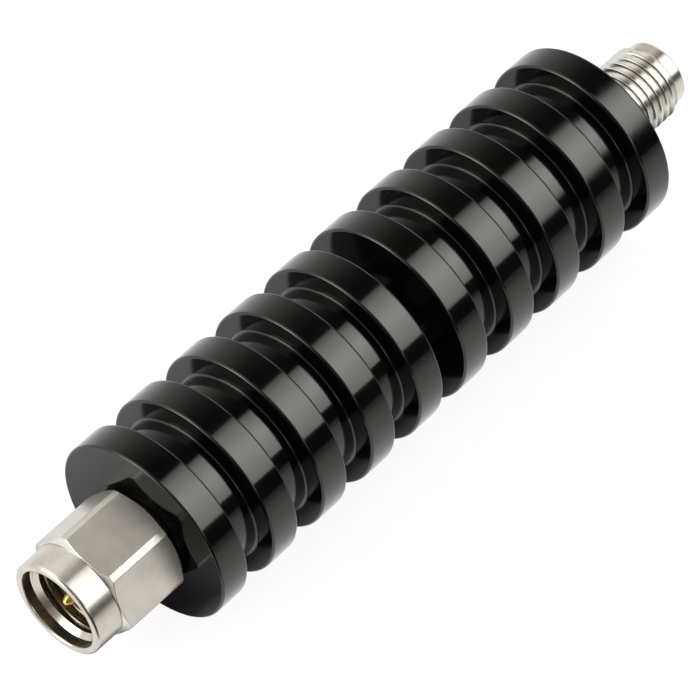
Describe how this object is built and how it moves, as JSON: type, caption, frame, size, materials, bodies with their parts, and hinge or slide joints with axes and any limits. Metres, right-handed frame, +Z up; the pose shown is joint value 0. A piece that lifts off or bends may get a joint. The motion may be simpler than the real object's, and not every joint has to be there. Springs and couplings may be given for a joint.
{
  "type": "rf attenuator",
  "caption": "In-line coaxial fixed attenuator with a finned turned heat sink, a plug with a hexagon coupling nut and a threaded jack.",
  "frame": {"origin": "middle of the part's length, on the surface that its fins lie on", "axes": "+X along the connector axis from the plug to the jack, +Z up"},
  "size_m": [0.065, 0.015, 0.015],
  "materials": {
    "black_anodised_aluminium": "black anodised, satin gloss over fine turning marks",
    "stainless_steel": "turned and passivated, satin",
    "gold_plate": "gold plated",
    "spring_copper": "bare spring copper alloy",
    "turned_brass": "turned",
    "bead_plastic": "amber moulded insulator",
    "alumina": "fired alumina"
  },
  "bodies": {
    "attenuator": {"heat_sink_body": "black_anodised_aluminium", "plug_shell": "stainless_steel", "plug_pin": "gold_plate", "plug_bead": "bead_plastic", "plug_line_sleeve": "turned_brass", "plug_line_rod": "gold_plate", "plug_line_bead": "bead_plastic", "plug_contact_tab": "gold_plate", "attenuator_card": "alumina", "carrier_lower": "turned_brass", "carrier_upper": "turned_brass", "jack_contact_tab": "gold_plate", "jack_line_rod": "gold_plate", "jack_line_bead": "bead_plastic", "jack_line_sleeve": "turned_brass", "jack_bead": "bead_plastic", "jack_socket": "gold_plate", "jack_shell": "stainless_steel"},
    "ring": {"nut_snap_ring": "spring_copper"},
    "nut": {"coupling_nut": "stainless_steel"}
  },
  "joints": [
    {"name": "nut_shift", "type": "slide", "parent": "attenuator", "child": "ring", "axis": [1, 0, 0], "range_m": [-0.0003, 0.0003]},
    {"name": "nut_spin", "type": "hinge", "parent": "ring", "child": "nut", "pos_m": [-0.02465, 0, 0.00748], "axis": [1, 0, 0], "continuous": true}
  ]
}
